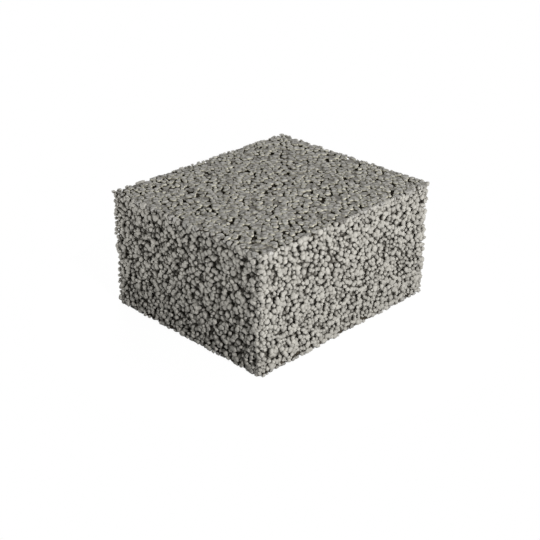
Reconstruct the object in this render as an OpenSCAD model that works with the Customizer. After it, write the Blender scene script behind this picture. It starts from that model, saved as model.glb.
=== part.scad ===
// Solid masonry block of lightweight aggregate concrete, moulded and pressed as one piece.
// Origin at the centre of the lower bed face, +X along the length, +Y across the width, +Z up.

/* [Block] */
// Length of the block, along the wall
length = 290; // [190:5:590]
// Width of the block, across the wall
width = 250; // [90:5:400]
// Height of the block, from bed face to bed face
height = 150; // [65:5:290]

/* [Arrises] */
// Radius of the four upright arrises, where the round grains turn the corner of the mould
upright_arris_r = 4; // [1:0.5:12]
// Radius of the arrises round the lower bed face, which the block lies on
lower_arris_r = 2; // [0.5:0.5:6]
// Radius of the arrises round the upper bed face, which the press head meets
upper_arris_r = 2.5; // [0.5:0.5:6]

/* [Hidden] */
$fn = 64;
concrete_colour = [0.63, 0.62, 0.58];

// Outline of the block seen from above
module plan() {
    square([length - 2 * upright_arris_r, width], center = true);
    square([length, width - 2 * upright_arris_r], center = true);
    for (side_x = [-1, 1], side_y = [-1, 1])
        translate([side_x * (length / 2 - upright_arris_r), side_y * (width / 2 - upright_arris_r)])
            circle(upright_arris_r);
}

// Outline of the block seen from a side that is face_width wide, with its foot at the origin
module elevation(face_width) {
    translate([-face_width / 2, lower_arris_r])
        square([face_width, height - lower_arris_r - upper_arris_r]);
    arris_row(face_width, lower_arris_r, lower_arris_r);
    arris_row(face_width, upper_arris_r, height - upper_arris_r);
}

// One bed edge of an elevation: a strip between two round arrises, with its middle line at level
module arris_row(face_width, arris_r, level) {
    translate([0, level]) {
        square([face_width - 2 * arris_r, 2 * arris_r], center = true);
        for (side = [-1, 1])
            translate([side * (face_width / 2 - arris_r), 0])
                circle(arris_r);
    }
}

// The block is what its plan and its two elevations have in common
module block() {
    color(concrete_colour)
        intersection() {
            linear_extrude(height) plan();
            rotate([90, 0, 0]) linear_extrude(width, center = true) elevation(length);
            rotate([90, 0, 90]) linear_extrude(length, center = true) elevation(width);
        }
}

block();
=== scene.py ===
import math
from collections import namedtuple

import bpy
import numpy as np
from mathutils import Matrix, Vector


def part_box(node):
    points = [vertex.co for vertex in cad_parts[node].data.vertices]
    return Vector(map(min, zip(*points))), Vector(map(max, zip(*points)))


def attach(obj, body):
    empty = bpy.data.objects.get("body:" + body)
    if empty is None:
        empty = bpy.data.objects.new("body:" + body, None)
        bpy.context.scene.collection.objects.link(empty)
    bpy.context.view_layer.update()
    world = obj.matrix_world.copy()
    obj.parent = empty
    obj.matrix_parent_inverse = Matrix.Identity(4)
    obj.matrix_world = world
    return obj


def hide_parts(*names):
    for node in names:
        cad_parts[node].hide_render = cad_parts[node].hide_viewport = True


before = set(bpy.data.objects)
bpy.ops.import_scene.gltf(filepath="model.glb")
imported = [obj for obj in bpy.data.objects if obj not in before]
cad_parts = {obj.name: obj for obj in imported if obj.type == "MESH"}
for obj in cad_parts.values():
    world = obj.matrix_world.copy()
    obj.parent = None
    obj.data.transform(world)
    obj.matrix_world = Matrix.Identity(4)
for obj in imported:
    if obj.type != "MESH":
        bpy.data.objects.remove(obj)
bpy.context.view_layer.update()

# Lengths are in metres. The block's walls are those of the mould that it was pressed in.
LOW, HIGH = (np.array(corner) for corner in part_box("block"))
SIZE = HIGH - LOW
MIDDLE = (LOW + HIGH) / 2

# Faces of the block: the axis that each one looks along, and the side of the block that it is on
Face = namedtuple("Face", "axis side")
FACES = {
    "stretcher_front": Face(axis=1, side=-1),
    "stretcher_back": Face(axis=1, side=1),
    "header_left": Face(axis=0, side=-1),
    "header_right": Face(axis=0, side=1),
    "bed_top": Face(axis=2, side=1),
    "bed_bottom": Face(axis=2, side=-1),
}
BED_AXIS = 2
SIDE_FACES = [face for face in FACES.values() if face.axis != BED_AXIS]
BED_FACES = [face for face in FACES.values() if face.axis == BED_AXIS]

# One layer of grain: range of radius, how near two grains may come as a share of their radii, share of the
# radius that the wall flattens, how far the layer lies back from the wall, and tries per square metre
Layer = namedtuple("Layer", "radius closeness press back tries")
SIDE_LAYERS = (
    Layer(radius=(0.0024, 0.0042), closeness=0.60, press=(0.10, 0.36), back=(0.0, 0.0010), tries=20_000),
    Layer(radius=(0.0022, 0.0036), closeness=0.64, press=(0.0, 0.25), back=(0.0008, 0.0032), tries=56_000),
    Layer(radius=(0.0023, 0.0032), closeness=0.80, press=(0.0, 0.0), back=(0.0040, 0.0060), tries=300_000),
)
BED_LAYERS = (
    Layer(radius=(0.0034, 0.0056), closeness=0.62, press=(0.20, 0.45), back=(0.0, 0.0), tries=60_000),
    Layer(radius=(0.0022, 0.0034), closeness=0.65, press=(0.16, 0.40), back=(0.0, 0.0004), tries=75_000),
    Layer(radius=(0.0022, 0.0030), closeness=0.90, press=(0.0, 0.0), back=(0.0018, 0.0032), tries=300_000),
)
# Grains along the arrises, with tries per metre: those along the edges of the beds, laid after the first
# layers, and those that fill what all the others leave open
EDGE_LAYER = Layer(radius=(0.0024, 0.0040), closeness=0.58, press=(0.15, 0.50), back=(0.0, 0.0008), tries=170)
FILL_LAYER = Layer(
    radius=(0.0022, 0.0034), closeness=0.64, press=(0.0, 0.20), back=(0.0010, 0.0060), tries=40_000,
)

# Where a wall's grains meet the next wall: share of the radius that the next wall flattens, less than 0
# where a grain keeps away from it, and share of the grains past that limit that are moved in, not left out
Corner = namedtuple("Corner", "press share")
SIDE_TO_SIDE = Corner(press=(-0.35, 0.48), share=0.18)
SIDE_TO_BED = Corner(press=(0.0, 0.95), share=0.65)
BED_TO_SIDE = Corner(press=(-0.4, 0.6), share=0.35)

# Radii of the mould's upright corners and of its edges round the beds
UPRIGHT_ARRIS = 0.0015
BED_ARRIS = 0.0010
# Depth of the solid behind the grains, below the headers, the stretchers and the beds, and its thickness
CORE_DEPTH = np.array([0.0074, 0.0074, 0.0048])
CORE_THICKNESS = 0.0060

# Grains are a little out of round and lumpy, and the walls press their heads to slightly different levels
GRAIN_STRETCH = (0.80, 1.22)
HEAD_STRETCH = (0.95, 1.12)
GRAIN_LUMPS = 0.08
SIDE_LEVELS = 0.0005
BED_LEVELS = 0.0016
# Rings of a grain's skin, in degrees from the middle of its head, and the corners of each ring
HEAD_RINGS = (26, 47, 68, 100)
RING_CORNERS = 10
# A wall that is nearer than this many radii turns a grain's head to it
NEAR_WALL = 1.3
# Unevenness of the skin: its reach, the size of its waves, and how many times finer waves are added to them
UNEVEN_REACH = 0.0008
UNEVEN_SIZE = 0.0022
UNEVEN_STEPS = 1

# Values that the corners of a mesh carry: how near the next grain is, which sets painted shade, and the tone
# of the grain, which on the solid behind the grains is a painted shade
CONTACT_MARK = "contact"
TONE_AND_SHADE_MARK = "grain_tone_and_core_shade"
# Two skins count as near each other within this distance
CONTACT_REACH = 0.0012
GRAIN_TONES = (0.88, 1.12)
# The solid behind the grains counts as touching them all over, and a painted shade makes it darker than they
# are
CORE_CONTACT = 1.0
CORE_PAINTED_SHADE = 0.25

# Cell of the grid that tells where a grain has room, and the number of spots that are looked up in it at once
CELL = 0.0006
SPOTS_AT_ONCE = 20_000
SEED = 41

# Look of a face: colours of the grains' heads and of their shoulders, which on the beds carry a painted
# highlight, depths between which the colour fades into painted shade and the share that it fades by, the
# share of painted shade where two grains touch, the scale and the range of the mottling, and the scale and
# the height of the grit
Look = namedtuple(
    "Look",
    "head shoulder fade_depths fade_share contact_share mottle_scale mottle_range grit_scale grit_height",
)
SIDE_LOOK = Look(
    head=(0.52, 0.502, 0.456, 1),
    shoulder=(0.52, 0.502, 0.456, 1),
    fade_depths=(0.0014, 0.0066),
    fade_share=0.53,
    contact_share=0.0,
    mottle_scale=320.0,
    mottle_range=(0.88, 1.12),
    grit_scale=420.0,
    grit_height=0.0006,
)
BED_LOOK = Look(
    head=(0.52, 0.506, 0.472, 1),
    # pale painted highlight on the shoulders of the beds' grains
    shoulder=(0.82, 0.79, 0.64, 1),
    fade_depths=(0.0011, 0.0024),
    fade_share=0.96,
    contact_share=0.60,
    mottle_scale=560.0,
    mottle_range=(0.70, 1.30),
    grit_scale=200.0,
    grit_height=0.0022,
)
# Painted shade: the dark that the colour fades into in deep recesses and where two grains touch
PAINTED_SHADE_COLOUR = (0.040, 0.030, 0.018, 1)
CONCRETE_ROUGHNESS = 0.9
CONCRETE_SPECULAR = 0.2
# A head turns into a shoulder between these upright parts of the skin's normal. Shoulders have the colour of
# heads up to the first of these distances from the sides, and a painted highlight from the second on.
HIGHLIGHT_NORMAL = (0.90, 0.50)
HIGHLIGHT_DISTANCE = (0.0020, 0.0080)
# Noise between these values spreads over the whole range of the mottling
NOISE_RANGE = (0.3, 0.7)
NOISE_DETAIL = 4.0
MOTTLE_ROUGHNESS = 0.7
GRIT_ROUGHNESS = 0.65


def wall_place(axis, side, distance):
    """Place on an axis that lies a distance inside the wall on that side."""
    return LOW[axis] + distance if side < 0 else HIGH[axis] - distance


def axes_across(axis):
    """The two other axes."""
    return [other for other in range(3) if other != axis]


class Mould:
    """The space inside the block, and the grains laid in it so far."""

    def __init__(self):
        self.cells = np.ceil(SIZE / CELL).astype(int)
        self.centres = []
        self.radii = []

    def take_room(self, full, centre, reach):
        """Marks the cells within reach of a place as full."""
        first = np.maximum(((centre - reach - LOW) / CELL).astype(int), 0)
        last = np.minimum(((centre + reach - LOW) / CELL).astype(int) + 1, self.cells)
        x, y, z = (
            (LOW[axis] + (np.arange(first[axis], last[axis]) + 0.5) * CELL - centre[axis]) ** 2
            for axis in range(3)
        )
        near = x[:, None, None] + y[None, :, None] + z[None, None, :] < reach * reach
        full[first[0]:last[0], first[1]:last[1], first[2]:last[2]] |= near

    def lay(self, spots, radii, closeness):
        """Lays grains at the spots that have room, in their order."""
        full = np.zeros(self.cells, bool)
        typical = radii.mean()
        for centre, radius in zip(self.centres, self.radii):
            self.take_room(full, centre, closeness * (typical + radius))
        homes = np.clip(((spots - LOW) / CELL).astype(int), 0, self.cells - 1)
        for start in range(0, len(spots), SPOTS_AT_ONCE):
            part = homes[start:start + SPOTS_AT_ONCE]
            for number in np.flatnonzero(~full[tuple(part.T)]):
                if full[tuple(part[number])]:
                    continue
                spot = spots[start + number]
                radius = radii[start + number]
                self.centres.append(spot)
                self.radii.append(radius)
                self.take_room(full, spot, closeness * (typical + radius))


def corner_of(axis, other):
    """How the grains of a wall across one axis meet a wall across the other."""
    if axis == BED_AXIS:
        return BED_TO_SIDE
    return SIDE_TO_BED if other == BED_AXIS else SIDE_TO_SIDE


def depths(rng, layer, radii):
    """How far inside their wall the centres of a layer's grains lie."""
    flattened = radii * (1 - rng.uniform(*layer.press, len(radii)))
    return flattened + rng.uniform(*layer.back, len(radii))


def wall_spots(rng, axis, side, layer):
    """Places for the grains of one layer along one wall of the mould, with their radii."""
    across = axes_across(axis)
    count = int(layer.tries * SIZE[across].prod())
    radii = rng.uniform(*layer.radius, count)
    spots = LOW + rng.random((count, 3)) * SIZE
    spots[:, axis] = wall_place(axis, side, depths(rng, layer, radii))
    kept = np.ones(count, bool)
    for other in across:
        corner = corner_of(axis, other)
        margin = radii * (1 - rng.uniform(*corner.press, count))
        within = np.clip(spots[:, other], LOW[other] + margin, HIGH[other] - margin)
        kept &= (within == spots[:, other]) | (rng.random(count) < corner.share)
        spots[:, other] = within
    return spots[kept], radii[kept]


def joined(lots):
    """Several lots of places and radii as one lot."""
    return [np.concatenate(values) for values in zip(*lots)]


def arris_spots(rng, layer, directions):
    """Places for the grains of one layer along the arrises that run in the directions, with their radii."""
    lots = []
    for along in directions:
        one, other = axes_across(along)
        for one_side in (-1, 1):
            for other_side in (-1, 1):
                count = int(layer.tries * SIZE[along])
                radii = rng.uniform(*layer.radius, count)
                spots = LOW + radii[:, None] + rng.random((count, 3)) * (SIZE - 2 * radii[:, None])
                for axis, side in ((one, one_side), (other, other_side)):
                    spots[:, axis] = wall_place(axis, side, depths(rng, layer, radii))
                lots.append((spots, radii))
    return joined(lots)


def lay_walls(mould, rng, layer, faces):
    """Lays one layer of grain along the walls of some faces, in a mixed order."""
    spots, radii = joined([wall_spots(rng, face.axis, face.side, layer) for face in faces])
    order = rng.permutation(len(spots))
    mould.lay(spots[order], radii[order], layer.closeness)


def lay_grains():
    """Centres and radii of all the grains near the block's surface."""
    rng = np.random.default_rng(SEED)
    mould = Mould()
    for side_layer, bed_layer in zip(SIDE_LAYERS, BED_LAYERS):
        lay_walls(mould, rng, side_layer, SIDE_FACES)
        lay_walls(mould, rng, bed_layer, BED_FACES)
        if side_layer is SIDE_LAYERS[0]:
            mould.lay(*arris_spots(rng, EDGE_LAYER, axes_across(BED_AXIS)), EDGE_LAYER.closeness)
    mould.lay(*arris_spots(rng, FILL_LAYER, range(3)), FILL_LAYER.closeness)
    return np.array(mould.centres), np.array(mould.radii)


def nearest_faces(centres):
    """For each grain, the number of the face that it lies nearest to."""
    distances = [
        (HIGH[axis] - centres[:, axis]) if side > 0 else (centres[:, axis] - LOW[axis])
        for axis, side in FACES.values()
    ]
    return np.argmin(distances, axis=0)


def from_lowest(corners):
    """The corners of a triangle in their own order, from the one with the lowest number on."""
    start = corners.index(min(corners))
    return corners[start:] + corners[:start]


def ball_template():
    """Corners and triangles of a ball of radius 1 that is finest round its head, which looks along Z."""
    bpy.ops.object.select_all(action="DESELECT")
    bpy.ops.mesh.primitive_uv_sphere_add(segments=RING_CORNERS, ring_count=len(HEAD_RINGS) + 1, radius=1.0)
    ball = bpy.context.object
    bpy.ops.object.mode_set(mode="EDIT")
    bpy.ops.mesh.select_all(action="SELECT")
    bpy.ops.mesh.quads_convert_to_tris()
    bpy.ops.object.mode_set(mode="OBJECT")
    mesh = ball.data
    x, y, z = np.array([vertex.co for vertex in mesh.vertices]).T
    # Blender splits the faces in an order that changes from run to run, so the triangles are sorted
    triangles = np.array(sorted(from_lowest(list(face.vertices)) for face in mesh.polygons))
    bpy.data.objects.remove(ball)
    bpy.data.meshes.remove(mesh)
    even_rings = np.linspace(0, math.pi, len(HEAD_RINGS) + 2)
    angle = np.interp(np.arccos(np.clip(z, -1, 1)), even_rings, np.radians((0, *HEAD_RINGS, 180)))
    turn = np.arctan2(y, x)
    points = np.stack([np.sin(angle) * np.cos(turn), np.sin(angle) * np.sin(turn), np.cos(angle)], axis=1)
    return points, triangles


def head_turns(rng, centres, radii):
    """Matrices that turn each grain's head to its wall, or to the arris or corner between its walls."""
    inside = np.concatenate([centres - LOW, HIGH - centres], axis=1)
    near = inside < NEAR_WALL * radii[:, None]
    near[np.arange(len(centres)), inside.argmin(axis=1)] = True
    outward = near @ np.concatenate([-np.eye(3), np.eye(3)])
    outward /= np.linalg.norm(outward, axis=1, keepdims=True)
    across = np.cross(rng.normal(size=outward.shape), outward)
    across /= np.linalg.norm(across, axis=1, keepdims=True)
    return np.stack([across, np.cross(outward, across), outward], axis=1)


def press_into_mould(places, levels):
    """Moves places outside the mould onto its walls and its rounded arrises, less their levels."""
    reach = SIZE / 2 - levels
    signs = np.sign(places - MIDDLE)
    outward = np.minimum(np.abs(places - MIDDLE), reach)
    for along in range(3):
        across = axes_across(along)
        radius = UPRIGHT_ARRIS if along == BED_AXIS else BED_ARRIS
        centre = (reach - radius)[..., across]
        past = np.maximum(outward[..., across] - centre, 0)
        length = np.linalg.norm(past, axis=-1, keepdims=True)
        shrink = np.minimum(radius / np.maximum(length, radius), 1)
        outward[..., across] = np.where(past > 0, centre + past * shrink, outward[..., across])
    return MIDDLE + signs * outward


def grain_skins(rng, centres, radii, points, head_levels):
    """Corners of every grain's skin, flattened where it meets the walls of the mould."""
    count = len(centres)
    stretch = rng.uniform(*GRAIN_STRETCH, (count, 1, 3))
    stretch[..., 2] = rng.uniform(*HEAD_STRETCH, (count, 1))
    lumpy = points[None] * stretch * rng.normal(1.0, GRAIN_LUMPS, (count, len(points), 1))
    turned = lumpy @ head_turns(rng, centres, radii)
    placed = centres[:, None] + turned * radii[:, None, None]
    return press_into_mould(placed, head_levels * rng.random((count, 1, 1)) ** 2)


def contacts(skins, own, centres, radii):
    """How near each corner of the skins is to another grain, from 0 if it is clear to 1 if they touch."""
    near = np.zeros(skins.shape[:2])
    for place, (skin, number) in enumerate(zip(skins, own)):
        apart = np.linalg.norm(centres - centres[number], axis=1)
        apart[number] = np.inf
        others = apart < radii[number] * GRAIN_STRETCH[1] + radii + CONTACT_REACH
        if others.any():
            gaps = np.linalg.norm(skin[:, None] - centres[others], axis=2) - radii[others]
            near[place] = 1 - np.clip(gaps.min(axis=1) / CONTACT_REACH, 0, 1)
    return near


def mesh_of(name, points, triangles):
    """A mesh object made from arrays of corners and triangles."""
    mesh = bpy.data.meshes.new(name)
    mesh.vertices.add(len(points))
    mesh.vertices.foreach_set("co", points.astype(np.float32).ravel())
    mesh.loops.add(triangles.size)
    mesh.loops.foreach_set("vertex_index", triangles.astype(np.int32).ravel())
    mesh.polygons.add(len(triangles))
    mesh.polygons.foreach_set("loop_start", np.arange(0, triangles.size, 3, dtype=np.int32))
    mesh.update(calc_edges=True)
    made = bpy.data.objects.new(name, mesh)
    bpy.context.scene.collection.objects.link(made)
    return made


def uneven_texture():
    """Soft waves that make the skin of the grains uneven."""
    waves = bpy.data.textures.new("uneven", "CLOUDS")
    waves.noise_scale = UNEVEN_SIZE
    waves.noise_depth = UNEVEN_STEPS
    return waves


def grain_piece(name, skins, triangles, waves):
    """The grains of one face as one mesh of balls, with waves that only push their skin in."""
    count, corners_each = skins.shape[:2]
    corners = triangles[None] + (np.arange(count) * corners_each)[:, None, None]
    piece = mesh_of(name, skins.reshape(-1, 3), corners.reshape(-1, 3))
    piece.data.shade_smooth()
    uneven = piece.modifiers.new("Uneven", "DISPLACE")
    uneven.texture = waves
    uneven.strength = UNEVEN_REACH
    uneven.mid_level = 1.0
    bpy.context.view_layer.objects.active = piece
    bpy.ops.object.modifier_apply(modifier=uneven.name)
    return piece


def core_piece(axis, side):
    """The solid behind one face's grains, with mitred ends, so that the six meet inside the arrises."""
    outer = SIZE - 2 * CORE_DEPTH
    inner = outer - 2 * CORE_THICKNESS
    middle = MIDDLE.copy()
    middle[axis] = wall_place(axis, side, CORE_DEPTH[axis] + CORE_THICKNESS / 2)
    dimensions = outer.copy()
    dimensions[axis] = CORE_THICKNESS
    bpy.ops.object.select_all(action="DESELECT")
    bpy.ops.mesh.primitive_cube_add(size=1.0, location=middle, scale=dimensions)
    core = bpy.context.object
    bpy.ops.object.transform_apply(location=True, rotation=True, scale=True)
    bpy.ops.object.mode_set(mode="EDIT")
    bpy.ops.mesh.select_mode(type="FACE")
    bpy.ops.mesh.select_all(action="DESELECT")
    bpy.ops.object.mode_set(mode="OBJECT")
    for face in core.data.polygons:
        face.select = round(face.normal[axis]) == -side
    bpy.ops.object.mode_set(mode="EDIT")
    shrink = inner / outer
    shrink[axis] = 1.0
    bpy.ops.transform.resize(value=shrink, center_override=middle)
    bpy.ops.object.mode_set(mode="OBJECT")
    return core


def join_core(piece, core):
    """Joins the solid behind the grains to them. Its corners come after theirs."""
    bpy.ops.object.select_all(action="DESELECT")
    core.select_set(True)
    piece.select_set(True)
    bpy.context.view_layer.objects.active = piece
    bpy.ops.object.join()


def mark_corners(mesh, name, grain_values, core_value):
    """Writes a value for each corner of the grains, and one for all corners of the solid behind them."""
    values = np.full(len(mesh.vertices), core_value, np.float32)
    values[:grain_values.size] = grain_values.ravel()
    mark = mesh.attributes.new(name, "FLOAT", "POINT")
    mark.data.foreach_set("value", values)


def corner_places(mesh):
    """Places of the corners of a mesh, as an array."""
    places = np.empty(len(mesh.vertices) * 3, np.float32)
    mesh.vertices.foreach_get("co", places)
    return places.reshape(-1, 3)


def bake_map(mesh, axis):
    """A flat map of the face, seen square on."""
    unit = ((corner_places(mesh) - LOW) / SIZE)[:, axes_across(axis)]
    corners = np.empty(len(mesh.loops), np.int32)
    mesh.loops.foreach_get("vertex_index", corners)
    layer = mesh.uv_layers.new(name="OFBake")
    layer.uv.foreach_set("vector", unit[corners].astype(np.float32).ravel())


def node(tree, kind, inputs=None, **options):
    """Adds a shader node, sets its options, and gives its sockets values or the outputs of other nodes."""
    made = tree.nodes.new(kind)
    for name, option in options.items():
        setattr(made, name, option)
    for socket, value in (inputs or {}).items():
        if isinstance(value, bpy.types.NodeSocket):
            tree.links.new(value, made.inputs[socket])
        else:
            made.inputs[socket].default_value = value
    return made


def calculated(tree, operation, *values):
    """The value that a math node works out."""
    return node(tree, "ShaderNodeMath", dict(enumerate(values)), operation=operation).outputs[0]


def calculated_vector(tree, operation, *vectors):
    """The vector that a math node works out."""
    return node(tree, "ShaderNodeVectorMath", dict(enumerate(vectors)), operation=operation).outputs[0]


def mapped(tree, value, old, new, interpolation="LINEAR"):
    """A value carried from an old range to a new one, and held at the ends of that."""
    inputs = {"Value": value, "From Min": old[0], "From Max": old[1], "To Min": new[0], "To Max": new[1]}
    return node(tree, "ShaderNodeMapRange", inputs, interpolation_type=interpolation).outputs["Result"]


def mixed(tree, share, first, second, blend="MIX"):
    """The colour that a share of the second colour makes of the first."""
    inputs = {"Factor": share, "A": first, "B": second}
    return node(tree, "ShaderNodeMix", inputs, data_type="RGBA", blend_type=blend).outputs["Result"]


def noise(tree, place, scale, roughness):
    """Fine noise at a place."""
    inputs = {"Vector": place, "Scale": scale, "Detail": NOISE_DETAIL, "Roughness": roughness}
    return node(tree, "ShaderNodeTexNoise", inputs).outputs["Fac"]


def marked(tree, name):
    """A value that the corners of the mesh carry."""
    return node(tree, "ShaderNodeAttribute", attribute_name=name).outputs["Fac"]


def wall_distances(tree, place):
    """How far a place lies inside the nearest upright wall and the nearest bed."""
    outward = calculated_vector(tree, "ABSOLUTE", calculated_vector(tree, "SUBTRACT", place, MIDDLE))
    inside = calculated_vector(tree, "SUBTRACT", SIZE / 2, outward)
    x, y, z = node(tree, "ShaderNodeSeparateXYZ", {0: inside}).outputs
    return calculated(tree, "MINIMUM", x, y), z


def grain_colour(tree, look, place, from_side):
    """Colour of the grains, mottled, with a painted highlight on shoulders, each grain in its own tone, the
    core in painted shade.
    """
    normal = node(tree, "ShaderNodeNewGeometry").outputs["Normal"]
    upright = calculated(tree, "ABSOLUTE", node(tree, "ShaderNodeSeparateXYZ", {0: normal}).outputs["Z"])
    turned = mapped(tree, upright, HIGHLIGHT_NORMAL, (0, 1))
    inward = mapped(tree, from_side, HIGHLIGHT_DISTANCE, (0, 1))
    # The shoulders get the look's painted highlight, away from the upright sides
    skin = mixed(tree, calculated(tree, "MULTIPLY", turned, inward), look.head, look.shoulder)
    speckle = noise(tree, place, look.mottle_scale, MOTTLE_ROUGHNESS)
    mottling = mapped(tree, speckle, NOISE_RANGE, look.mottle_range)
    tone = calculated(tree, "MULTIPLY", marked(tree, TONE_AND_SHADE_MARK), mottling)
    return mixed(tree, 1.0, skin, tone, blend="MULTIPLY")


def painted_shade_share(tree, look, depth):
    """How far the colour fades into painted shade, with the depth and where two grains touch."""
    touching = mapped(tree, marked(tree, CONTACT_MARK), (0, 1), (0, look.contact_share))
    fading = mapped(tree, depth, look.fade_depths, (0, look.fade_share))
    return calculated(tree, "MAXIMUM", touching, fading)


def concrete_material(name, look):
    """Warm grey lightweight concrete: paste-covered grains, with painted shade in the gaps between them."""
    material = bpy.data.materials.new(name)
    material.use_nodes = True
    tree = material.node_tree
    shader = tree.nodes["Principled BSDF"]
    shader.inputs["Roughness"].default_value = CONCRETE_ROUGHNESS
    shader.inputs["Specular IOR Level"].default_value = CONCRETE_SPECULAR
    place = node(tree, "ShaderNodeTexCoord").outputs["Object"]
    from_side, from_bed = wall_distances(tree, place)
    depth = calculated(tree, "MINIMUM", from_side, from_bed)
    grains = grain_colour(tree, look, place, from_side)
    # Painted shade darkens the colour with depth and where two grains touch
    colour = mixed(tree, painted_shade_share(tree, look, depth), grains, PAINTED_SHADE_COLOUR)
    grit = noise(tree, place, look.grit_scale, GRIT_ROUGHNESS)
    bump = node(tree, "ShaderNodeBump", {"Strength": 1.0, "Distance": look.grit_height, "Height": grit})
    tree.links.new(colour, shader.inputs["Base Color"])
    tree.links.new(bump.outputs["Normal"], shader.inputs["Normal"])
    return material


def build_block():
    """The block's six faces, each one piece: its grains and the solid behind them."""
    centres, radii = lay_grains()
    nearest = nearest_faces(centres)
    points, triangles = ball_template()
    waves = uneven_texture()
    side_concrete = concrete_material("grained_concrete", SIDE_LOOK)
    bed_concrete = concrete_material("pressed_concrete", BED_LOOK)
    rng = np.random.default_rng(SEED)
    for number, (name, (axis, side)) in enumerate(FACES.items()):
        is_bed = axis == BED_AXIS
        own = np.flatnonzero(nearest == number)
        skins = grain_skins(rng, centres[own], radii[own], points, BED_LEVELS if is_bed else SIDE_LEVELS)
        tones = np.repeat(rng.uniform(*GRAIN_TONES, len(own)), len(points))
        piece = grain_piece(name, skins, triangles, waves)
        join_core(piece, core_piece(axis, side))
        # The contact marks set painted shade where two grains touch
        mark_corners(piece.data, CONTACT_MARK, contacts(skins, own, centres, radii), CORE_CONTACT)
        # The solid behind the grains gets a dark tone, a painted shade in the pits
        mark_corners(piece.data, TONE_AND_SHADE_MARK, tones, CORE_PAINTED_SHADE)
        bake_map(piece.data, axis)
        piece.data.materials.clear()
        piece.data.materials.append(bed_concrete if is_bed else side_concrete)
        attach(piece, "root")
        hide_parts("block")


# Camera of the photograph, in the block's frame
CAMERA_PLACE = Vector((-0.8274, -0.8068, 0.6224))
CAMERA_ELEVATION = math.radians(-26.83)
CAMERA_AZIMUTH = math.radians(44.41)
CAMERA_ROLL = math.radians(0.28)
CAMERA_LENS = 69.78
SENSOR_WIDTH = 36.0

# Light of the studio: a pale surround that fades to a dimmer level overhead, between two angles above the
# horizon, and to a share of itself on the camera's side, between two cosines of the angle to it
SURROUND_LEVEL = 1.05
OVERHEAD_LEVEL = 0.16
OVERHEAD_FADE = (math.radians(-3), math.radians(12))
CAMERA_SIDE_SHARE = 0.14
CAMERA_SIDE_FADE = (0.1, 0.9)
WHITE = (1, 1, 1, 1)

# Soft lamps: direction from the block, length of a side, and the level at which a lamp lights a face that is
# turned to it, where 1 shows a colour as it is written
Softbox = namedtuple("Softbox", "direction size level")
SOFTBOXES = {
    "key_softbox": Softbox(direction=(-0.20, -0.93, 0.33), size=0.5, level=0.88),
    "fill_softbox": Softbox(direction=(-0.75, 0.63, -0.18), size=0.8, level=0.38),
    "side_softbox": Softbox(direction=(0.96, 0.22, 0.10), size=0.8, level=0.30),
    "back_softbox": Softbox(direction=(0.45, 0.55, 0.70), size=0.8, level=0.36),
}
SOFTBOX_DISTANCE = 1.6

# The floor is a round table top that shows white up to the block, and goes dark in a painted shadow between
# two distances inside the block's foot
TABLE_MARGIN = 0.10
TABLE_CORNERS = 96
TABLE_COLOUR = (0.10, 0.10, 0.10, 1)
FLOOR_GLOW = 0.95
FLOOR_SHADOW = (0.0045, 0.0070)


def add_camera():
    """The camera, looking down at the arris between the front stretcher and the left header."""
    level = math.cos(CAMERA_ELEVATION)
    forward = Vector((
        level * math.cos(CAMERA_AZIMUTH),
        level * math.sin(CAMERA_AZIMUTH),
        math.sin(CAMERA_ELEVATION),
    ))
    turn = forward.to_track_quat("-Z", "Y").to_matrix().to_4x4()
    data = bpy.data.cameras.new("photo_camera")
    data.lens = CAMERA_LENS
    data.sensor_width = SENSOR_WIDTH
    camera = bpy.data.objects.new("photo_camera", data)
    camera.matrix_world = Matrix.Translation(CAMERA_PLACE) @ turn @ Matrix.Rotation(CAMERA_ROLL, 4, "Z")
    bpy.context.scene.collection.objects.link(camera)
    bpy.context.scene.camera = camera


def add_softbox(name, softbox):
    """A square soft lamp that looks at the middle of the block."""
    direction = Vector(softbox.direction).normalized()
    data = bpy.data.lights.new(name, "AREA")
    data.shape = "SQUARE"
    data.size = softbox.size
    data.energy = softbox.level * math.pi * math.pi * SOFTBOX_DISTANCE ** 2
    lamp = bpy.data.objects.new(name, data)
    turn = (-direction).to_track_quat("-Z", "Y").to_matrix().to_4x4()
    lamp.matrix_world = Matrix.Translation(Vector(MIDDLE) + direction * SOFTBOX_DISTANCE) @ turn
    bpy.context.scene.collection.objects.link(lamp)


def seen_directly(tree):
    """A value that is 1 for rays from the camera, a mirror or glass, and 0 for light."""
    path = node(tree, "ShaderNodeLightPath").outputs
    seen_or_mirrored = calculated(tree, "MAXIMUM", path["Is Camera Ray"], path["Is Glossy Ray"])
    return calculated(tree, "MAXIMUM", seen_or_mirrored, path["Is Transmission Ray"])


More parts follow.
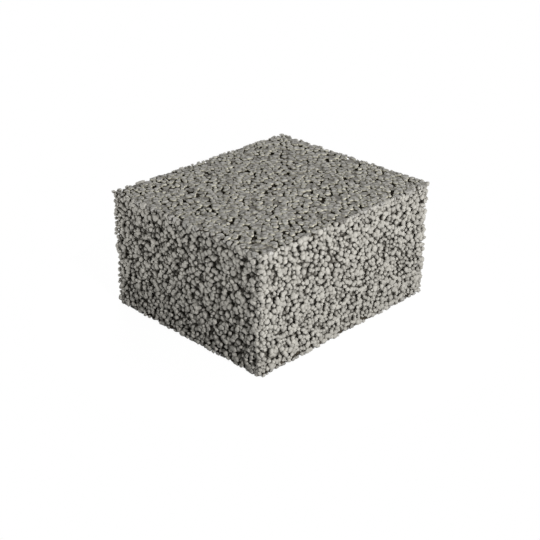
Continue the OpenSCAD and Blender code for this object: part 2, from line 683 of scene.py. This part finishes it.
def add_world():
    """White where it is seen. As light it is a pale surround, dimmer overhead and on the camera's side."""
    world = bpy.data.worlds.new("studio")
    bpy.context.scene.world = world
    world.use_nodes = True
    tree = world.node_tree
    direction = node(tree, "ShaderNodeTexCoord").outputs["Generated"]
    height = node(tree, "ShaderNodeSeparateXYZ", {0: direction}).outputs["Z"]
    fade_heights = [math.sin(angle) for angle in OVERHEAD_FADE]
    surround = mapped(tree, height, fade_heights, (SURROUND_LEVEL, OVERHEAD_LEVEL), "SMOOTHSTEP")
    to_camera = (-math.cos(CAMERA_AZIMUTH), -math.sin(CAMERA_AZIMUTH), 0)
    towards = node(tree, "ShaderNodeVectorMath", {0: direction, 1: to_camera}, operation="DOT_PRODUCT")
    dimming = mapped(tree, towards.outputs["Value"], CAMERA_SIDE_FADE, (1.0, CAMERA_SIDE_SHARE))
    light = calculated(tree, "MULTIPLY", surround, dimming)
    strength = node(tree, "ShaderNodeMix", {"Factor": seen_directly(tree), "A": light, "B": 1.0})
    background = tree.nodes["Background"]
    background.inputs["Color"].default_value = WHITE
    tree.links.new(strength.outputs["Result"], background.inputs["Strength"])


def floor_material():
    """Floor that shows white, with a faint shadow and a painted shadow under the block's foot, and throws
    little light back.
    """
    material = bpy.data.materials.new("pale_floor")
    material.use_nodes = True
    tree = material.node_tree
    tree.nodes.remove(tree.nodes["Principled BSDF"])
    place = node(tree, "ShaderNodeTexCoord").outputs["Object"]
    inside_foot, _ = wall_distances(tree, place)
    # Painted shadow: the glow goes dark inside the block's foot
    glow_level = mapped(tree, inside_foot, FLOOR_SHADOW, (FLOOR_GLOW, 0.0))
    table = node(tree, "ShaderNodeBsdfDiffuse", {"Color": TABLE_COLOUR}).outputs[0]
    glow = node(tree, "ShaderNodeEmission", {"Color": WHITE, "Strength": glow_level}).outputs[0]
    shown = node(tree, "ShaderNodeAddShader", {0: table, 1: glow}).outputs[0]
    mix = node(tree, "ShaderNodeMixShader", {0: seen_directly(tree), 1: table, 2: shown}).outputs[0]
    tree.links.new(mix, tree.nodes["Material Output"].inputs["Surface"])
    return material


def add_floor():
    """A round table top, a little wider than the block."""
    radius = np.hypot(*SIZE[:2]) / 2 + TABLE_MARGIN
    foot = (0, 0, LOW[BED_AXIS])
    bpy.ops.object.select_all(action="DESELECT")
    bpy.ops.mesh.primitive_circle_add(vertices=TABLE_CORNERS, radius=radius, fill_type="NGON", location=foot)
    floor = bpy.context.object
    floor.name = "studio_floor"
    floor.data.materials.append(floor_material())


build_block()
add_camera()
add_floor()
add_world()
for softbox_name, softbox in SOFTBOXES.items():
    add_softbox(softbox_name, softbox)
bpy.context.scene.view_settings.view_transform = "Standard"
